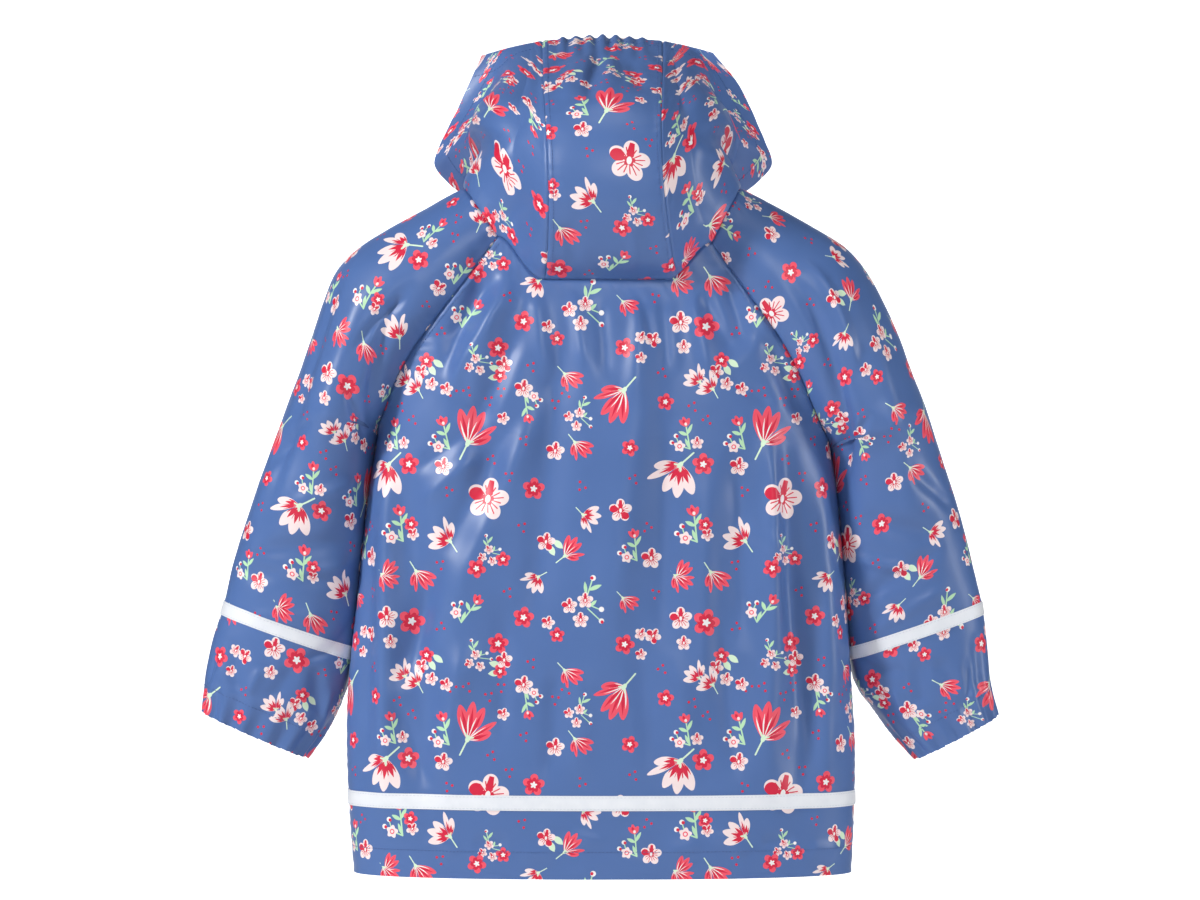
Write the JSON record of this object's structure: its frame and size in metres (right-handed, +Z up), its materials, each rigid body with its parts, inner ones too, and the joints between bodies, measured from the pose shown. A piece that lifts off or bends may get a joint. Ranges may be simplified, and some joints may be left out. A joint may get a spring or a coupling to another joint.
{
  "type": "child's rain jacket",
  "caption": "Child's hooded rain jacket of satin coated cloth with raglan sleeves, elastic cuffs, small printed flowers and reflective tapes, shown filled out.",
  "frame": {"origin": "the middle of the wearer's neck base, between the shoulders, where the wearer carries the jacket", "axes": "+Z up the wearer's back, +Y from the front of the jacket to its back, +X to the wearer's left"},
  "size_m": [0.6731, 0.2091, 0.7103],
  "materials": {
    "cloth": "satin coated knit, blue with small red and pink flowers",
    "tape": "silvery white reflective tape",
    "stud": "satin press-stud cap"
  },
  "bodies": {
    "root": {"back": "cloth", "front_left": "cloth", "front_right": "cloth", "sleeve_left": "cloth", "sleeve_right": "cloth", "hood_side_left": "cloth", "hood_side_right": "cloth", "hood_centre": "cloth", "tape_back": "tape", "tape_front_left": "tape", "tape_front_right": "tape", "tape_sleeve_left": "tape", "tape_sleeve_right": "tape", "stud_1": "stud", "stud_2": "stud", "stud_3": "stud", "stud_4": "stud", "stud_5": "stud"}
  },
  "joints": []
}
